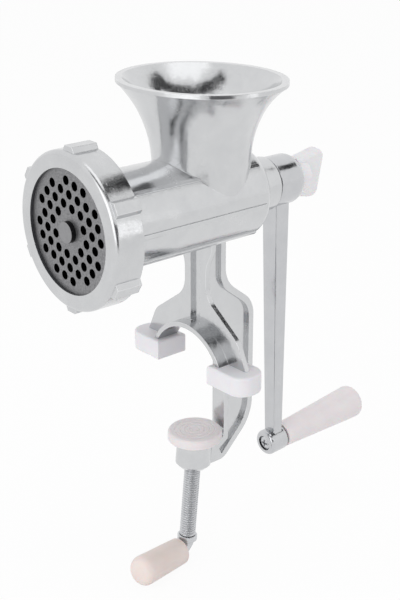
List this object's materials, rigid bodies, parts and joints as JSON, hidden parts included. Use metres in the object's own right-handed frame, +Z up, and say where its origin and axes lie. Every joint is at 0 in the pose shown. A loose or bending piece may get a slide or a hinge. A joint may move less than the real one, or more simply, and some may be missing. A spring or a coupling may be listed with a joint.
{
  "type": "hand crank meat grinder",
  "caption": "Table-clamped hand crank meat grinder: flared hopper on a barrel, perforated plate under a lugged ring nut, crank with grip, and a C-frame clamp screw.",
  "frame": {"origin": "on the table top, in the plane under the booted feet, midway between the feet", "axes": "+Z up, -Y out of the grinding plate, +Y towards the crank, +X across the feet to the right of the barrel when it is seen from the crank's end"},
  "size_m": [0.0812, 0.184, 0.2404],
  "materials": {
    "cast_aluminium": "bright tumbled die casting",
    "ring_aluminium": "bright tumbled die casting",
    "crank_aluminium": "bright tumbled die casting",
    "auger_aluminium": "tumbled die casting",
    "plate_steel": "ground flat",
    "blade_steel": "ground edges",
    "rod_steel": "bright zinc plating",
    "bush_plastic": "plain moulded",
    "white_plastic": "smooth moulded"
  },
  "bodies": {
    "frame": {"body_casting": "cast_aluminium", "left_boot": "white_plastic", "right_boot": "white_plastic", "plate_key": "rod_steel", "rear_bush": "bush_plastic"},
    "feed": {"auger": "auger_aluminium", "drive_stud": "rod_steel", "cutter_blade": "blade_steel", "thrust_washer": "bush_plastic"},
    "crank": {"crank_arm": "crank_aluminium"},
    "thumb_screw": {"thumb_screw_knob": "white_plastic", "thumb_screw_stud": "rod_steel"},
    "handle": {"crank_grip": "white_plastic", "grip_screw": "rod_steel"},
    "plate": {"grinding_plate": "plate_steel"},
    "ring": {"ring_nut": "ring_aluminium"},
    "pad": {"pad_cap": "white_plastic", "swivel_foot": "rod_steel"},
    "clamp": {"clamp_screw": "rod_steel", "lever_grip": "white_plastic"}
  },
  "joints": [
    {"name": "crank_turn", "type": "hinge", "parent": "frame", "child": "feed", "pos_m": [0, 0, 0.0825], "axis": [0, 1, 0], "continuous": true},
    {"name": "crank_slide", "type": "slide", "parent": "feed", "child": "crank", "axis": [0, 1, 0], "range_m": [0, 0.006]},
    {"name": "thumb_turn", "type": "hinge", "parent": "crank", "child": "thumb_screw", "pos_m": [0, 0, 0.0825], "axis": [0, 1, 0], "range_deg": [0, 2161]},
    {"name": "grip_spin", "type": "hinge", "parent": "crank", "child": "handle", "pos_m": [0, 0.0463, -0.0569], "axis": [0, 0.9986, 0.0523], "continuous": true},
    {"name": "ring_slide", "type": "slide", "parent": "frame", "child": "plate", "axis": [0, -1, 0], "range_m": [0, 0.009]},
    {"name": "ring_turn", "type": "hinge", "parent": "plate", "child": "ring", "pos_m": [0, -0.063, 0.0825], "axis": [0, -1, 0], "range_deg": [0, 1080]},
    {"name": "clamp_slide", "type": "slide", "parent": "frame", "child": "pad", "axis": [0, 0.0958, 0.9954], "range_m": [0, 0.015]},
    {"name": "clamp_turn", "type": "hinge", "parent": "pad", "child": "clamp", "pos_m": [0, -0.0002, -0.0325], "axis": [0, 0.0958, 0.9954], "range_deg": [0, 4320]}
  ],
  "couplings": [
    {"joint": "thumb_turn", "follows": "crank_slide", "rad_per_m": 6283.2},
    {"joint": "ring_slide", "follows": "ring_turn", "m_per_rad": 0.00047746},
    {"joint": "clamp_slide", "follows": "clamp_turn", "m_per_rad": 0.00019894}
  ]
}
